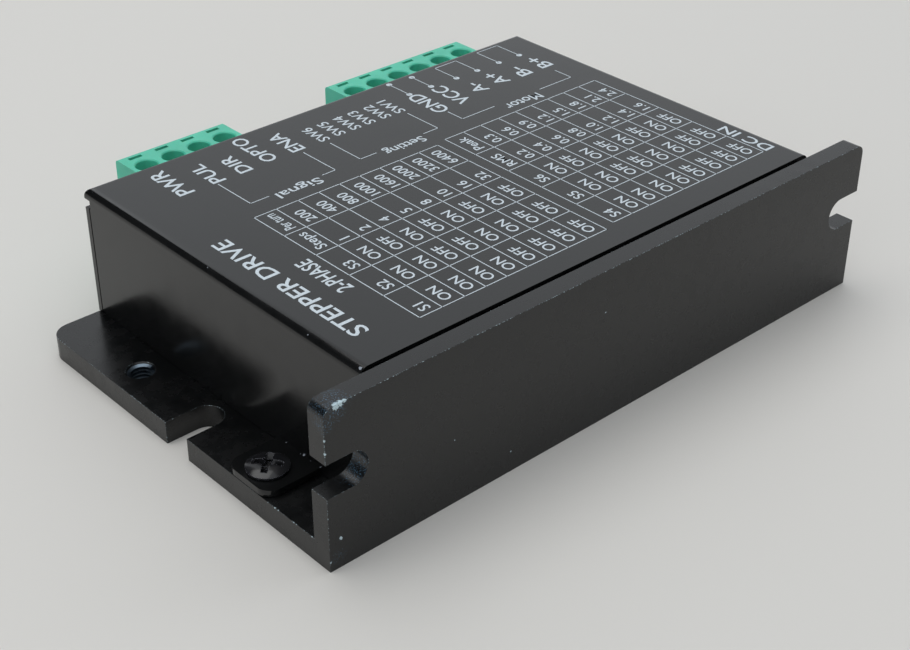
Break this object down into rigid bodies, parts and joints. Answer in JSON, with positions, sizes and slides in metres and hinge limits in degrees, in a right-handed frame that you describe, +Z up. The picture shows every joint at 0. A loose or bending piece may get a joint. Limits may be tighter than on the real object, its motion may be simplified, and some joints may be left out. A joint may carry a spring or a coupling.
{
  "type": "stepper motor driver module",
  "caption": "Microstep drive: a folded black cover over a circuit board on an aluminium L bracket, with pluggable green terminals and a slide switch bank.",
  "frame": {"origin": "middle of the bracket's underside", "axes": "+X along the bracket from the signal end to the motor end, -Y out of the flange, +Y out of the terminals, +Z up from the base"},
  "size_m": [0.086, 0.0641, 0.0202],
  "materials": {
    "bracket_anodised": "black anodised aluminium, slightly rough, bare and bright at worn edges",
    "cover_paint": "semi-gloss black paint on folded sheet, fine orange peel",
    "print_white": "pale screen-printed ink",
    "black_screw": "black oxide, bright where the driver rubbed",
    "steel_screw": "bright zinc plated",
    "clamp_plating": "nickel plated, stamped",
    "contact_tin": "tinned contact metal and solder",
    "standoff_brass": "turned brass",
    "board_laminate": "green solder mask over fibre laminate",
    "thermal_silicone": "soft grey silicone sheet",
    "terminal_green": "mint green moulded nylon, slightly translucent",
    "dip_housing": "blue moulded plastic",
    "dip_slider": "white moulded plastic",
    "lamp_lens": "tinted epoxy lens",
    "chip_epoxy": "matte black moulding epoxy",
    "bright_can": "drawn metal can",
    "ferrite": "sintered ferrite",
    "capacitor_sleeve": "shrunk dark sleeve"
  },
  "bodies": {
    "root": {"heatsink_bracket": "bracket_anodised", "cover": "cover_paint", "cover_screw_near": "black_screw", "cover_screw_far": "black_screw", "main_board": "board_laminate", "board_standoff_near_flange": "standoff_brass", "board_standoff_far_flange": "standoff_brass", "board_standoff_near_terminal": "standoff_brass", "board_standoff_far_terminal": "standoff_brass", "board_screw_near_flange": "steel_screw", "board_screw_far_flange": "steel_screw", "board_screw_near_terminal": "steel_screw", "board_screw_far_terminal": "steel_screw", "header_4way": "terminal_green", "header_6way": "terminal_green", "dip_switch_body": "dip_housing", "power_led": "lamp_lens", "thermal_pad": "thermal_silicone", "bridge_chip_a": "chip_epoxy", "bridge_chip_b": "chip_epoxy", "controller_chip": "chip_epoxy", "regulator_chip": "chip_epoxy", "optocoupler_pulse": "chip_epoxy", "optocoupler_direction": "chip_epoxy", "optocoupler_enable": "chip_epoxy", "crystal": "bright_can", "inductor": "ferrite", "sense_resistor_a": "chip_epoxy", "sense_resistor_b": "chip_epoxy", "fuse": "chip_epoxy", "bulk_capacitor_a": "capacitor_sleeve", "bulk_capacitor_b": "capacitor_sleeve"},
    "plug_4way": {"plug_4way": "terminal_green"},
    "clamp_screw_4way_1": {"clamp_screw_4way_1": "steel_screw"},
    "clamp_cage_4way_1": {"clamp_cage_4way_1": "clamp_plating"},
    "clamp_screw_4way_2": {"clamp_screw_4way_2": "steel_screw"},
    "clamp_cage_4way_2": {"clamp_cage_4way_2": "clamp_plating"},
    "clamp_screw_4way_3": {"clamp_screw_4way_3": "steel_screw"},
    "clamp_cage_4way_3": {"clamp_cage_4way_3": "clamp_plating"},
    "clamp_screw_4way_4": {"clamp_screw_4way_4": "steel_screw"},
    "clamp_cage_4way_4": {"clamp_cage_4way_4": "clamp_plating"},
    "plug_6way": {"plug_6way": "terminal_green"},
    "clamp_screw_6way_1": {"clamp_screw_6way_1": "steel_screw"},
    "clamp_cage_6way_1": {"clamp_cage_6way_1": "clamp_plating"},
    "clamp_screw_6way_2": {"clamp_screw_6way_2": "steel_screw"},
    "clamp_cage_6way_2": {"clamp_cage_6way_2": "clamp_plating"},
    "clamp_screw_6way_3": {"clamp_screw_6way_3": "steel_screw"},
    "clamp_cage_6way_3": {"clamp_cage_6way_3": "clamp_plating"},
    "clamp_screw_6way_4": {"clamp_screw_6way_4": "steel_screw"},
    "clamp_cage_6way_4": {"clamp_cage_6way_4": "clamp_plating"},
    "clamp_screw_6way_5": {"clamp_screw_6way_5": "steel_screw"},
    "clamp_cage_6way_5": {"clamp_cage_6way_5": "clamp_plating"},
    "clamp_screw_6way_6": {"clamp_screw_6way_6": "steel_screw"},
    "clamp_cage_6way_6": {"clamp_cage_6way_6": "clamp_plating"},
    "dip_slider_1": {"dip_slider_1": "dip_slider"},
    "dip_slider_2": {"dip_slider_2": "dip_slider"},
    "dip_slider_3": {"dip_slider_3": "dip_slider"},
    "dip_slider_4": {"dip_slider_4": "dip_slider"},
    "dip_slider_5": {"dip_slider_5": "dip_slider"},
    "dip_slider_6": {"dip_slider_6": "dip_slider"}
  },
  "joints": [
    {"name": "plug_4way_pull", "type": "slide", "parent": "root", "child": "plug_4way", "axis": [0, 1, 0], "range_m": [0, 0.012]},
    {"name": "clamp_screw_4way_1_turn", "type": "hinge", "parent": "plug_4way", "child": "clamp_screw_4way_1", "pos_m": [-0.02379, 0.0328, 0.0137], "axis": [0, 0, -1], "range_deg": [0, 1440]},
    {"name": "clamp_cage_4way_1_rise", "type": "slide", "parent": "plug_4way", "child": "clamp_cage_4way_1", "axis": [0, 0, 1], "range_m": [0, 0.0016]},
    {"name": "clamp_screw_4way_2_turn", "type": "hinge", "parent": "plug_4way", "child": "clamp_screw_4way_2", "pos_m": [-0.01983, 0.0328, 0.0137], "axis": [0, 0, -1], "range_deg": [0, 1440]},
    {"name": "clamp_cage_4way_2_rise", "type": "slide", "parent": "plug_4way", "child": "clamp_cage_4way_2", "axis": [0, 0, 1], "range_m": [0, 0.0016]},
    {"name": "clamp_screw_4way_3_turn", "type": "hinge", "parent": "plug_4way", "child": "clamp_screw_4way_3", "pos_m": [-0.01587, 0.0328, 0.0137], "axis": [0, 0, -1], "range_deg": [0, 1440]},
    {"name": "clamp_cage_4way_3_rise", "type": "slide", "parent": "plug_4way", "child": "clamp_cage_4way_3", "axis": [0, 0, 1], "range_m": [0, 0.0016]},
    {"name": "clamp_screw_4way_4_turn", "type": "hinge", "parent": "plug_4way", "child": "clamp_screw_4way_4", "pos_m": [-0.01191, 0.0328, 0.0137], "axis": [0, 0, -1], "range_deg": [0, 1440]},
    {"name": "clamp_cage_4way_4_rise", "type": "slide", "parent": "plug_4way", "child": "clamp_cage_4way_4", "axis": [0, 0, 1], "range_m": [0, 0.0016]},
    {"name": "plug_6way_pull", "type": "slide", "parent": "root", "child": "plug_6way", "axis": [0, 1, 0], "range_m": [0, 0.012]},
    {"name": "clamp_screw_6way_1_turn", "type": "hinge", "parent": "plug_6way", "child": "clamp_screw_6way_1", "pos_m": [0.00995, 0.0328, 0.0137], "axis": [0, 0, -1], "range_deg": [0, 1440]},
    {"name": "clamp_cage_6way_1_rise", "type": "slide", "parent": "plug_6way", "child": "clamp_cage_6way_1", "axis": [0, 0, 1], "range_m": [0, 0.0016]},
    {"name": "clamp_screw_6way_2_turn", "type": "hinge", "parent": "plug_6way", "child": "clamp_screw_6way_2", "pos_m": [0.01391, 0.0328, 0.0137], "axis": [0, 0, -1], "range_deg": [0, 1440]},
    {"name": "clamp_cage_6way_2_rise", "type": "slide", "parent": "plug_6way", "child": "clamp_cage_6way_2", "axis": [0, 0, 1], "range_m": [0, 0.0016]},
    {"name": "clamp_screw_6way_3_turn", "type": "hinge", "parent": "plug_6way", "child": "clamp_screw_6way_3", "pos_m": [0.01787, 0.0328, 0.0137], "axis": [0, 0, -1], "range_deg": [0, 1440]},
    {"name": "clamp_cage_6way_3_rise", "type": "slide", "parent": "plug_6way", "child": "clamp_cage_6way_3", "axis": [0, 0, 1], "range_m": [0, 0.0016]},
    {"name": "clamp_screw_6way_4_turn", "type": "hinge", "parent": "plug_6way", "child": "clamp_screw_6way_4", "pos_m": [0.02183, 0.0328, 0.0137], "axis": [0, 0, -1], "range_deg": [0, 1440]},
    {"name": "clamp_cage_6way_4_rise", "type": "slide", "parent": "plug_6way", "child": "clamp_cage_6way_4", "axis": [0, 0, 1], "range_m": [0, 0.0016]},
    {"name": "clamp_screw_6way_5_turn", "type": "hinge", "parent": "plug_6way", "child": "clamp_screw_6way_5", "pos_m": [0.02579, 0.0328, 0.0137], "axis": [0, 0, -1], "range_deg": [0, 1440]},
    {"name": "clamp_cage_6way_5_rise", "type": "slide", "parent": "plug_6way", "child": "clamp_cage_6way_5", "axis": [0, 0, 1], "range_m": [0, 0.0016]},
    {"name": "clamp_screw_6way_6_turn", "type": "hinge", "parent": "plug_6way", "child": "clamp_screw_6way_6", "pos_m": [0.02975, 0.0328, 0.0137], "axis": [0, 0, -1], "range_deg": [0, 1440]},
    {"name": "clamp_cage_6way_6_rise", "type": "slide", "parent": "plug_6way", "child": "clamp_cage_6way_6", "axis": [0, 0, 1], "range_m": [0, 0.0016]},
    {"name": "dip_slider_1_set", "type": "slide", "parent": "root", "child": "dip_slider_1", "axis": [0, 0, 1], "range_m": [0, 0.0016]},
    {"name": "dip_slider_2_set", "type": "slide", "parent": "root", "child": "dip_slider_2", "axis": [0, 0, 1], "range_m": [0, 0.0016]},
    {"name": "dip_slider_3_set", "type": "slide", "parent": "root", "child": "dip_slider_3", "axis": [0, 0, 1], "range_m": [0, 0.0016]},
    {"name": "dip_slider_4_set", "type": "slide", "parent": "root", "child": "dip_slider_4", "axis": [0, 0, 1], "range_m": [0, 0.0016]},
    {"name": "dip_slider_5_set", "type": "slide", "parent": "root", "child": "dip_slider_5", "axis": [0, 0, 1], "range_m": [0, 0.0016]},
    {"name": "dip_slider_6_set", "type": "slide", "parent": "root", "child": "dip_slider_6", "axis": [0, 0, 1], "range_m": [0, 0.0016]}
  ],
  "couplings": [
    {"joint": "clamp_screw_4way_1_turn", "follows": "clamp_cage_4way_1_rise", "rad_per_m": 15708},
    {"joint": "clamp_screw_4way_2_turn", "follows": "clamp_cage_4way_2_rise", "rad_per_m": 15708},
    {"joint": "clamp_screw_4way_3_turn", "follows": "clamp_cage_4way_3_rise", "rad_per_m": 15708},
    {"joint": "clamp_screw_4way_4_turn", "follows": "clamp_cage_4way_4_rise", "rad_per_m": 15708},
    {"joint": "clamp_screw_6way_1_turn", "follows": "clamp_cage_6way_1_rise", "rad_per_m": 15708},
    {"joint": "clamp_screw_6way_2_turn", "follows": "clamp_cage_6way_2_rise", "rad_per_m": 15708},
    {"joint": "clamp_screw_6way_3_turn", "follows": "clamp_cage_6way_3_rise", "rad_per_m": 15708},
    {"joint": "clamp_screw_6way_4_turn", "follows": "clamp_cage_6way_4_rise", "rad_per_m": 15708},
    {"joint": "clamp_screw_6way_5_turn", "follows": "clamp_cage_6way_5_rise", "rad_per_m": 15708},
    {"joint": "clamp_screw_6way_6_turn", "follows": "clamp_cage_6way_6_rise", "rad_per_m": 15708}
  ]
}
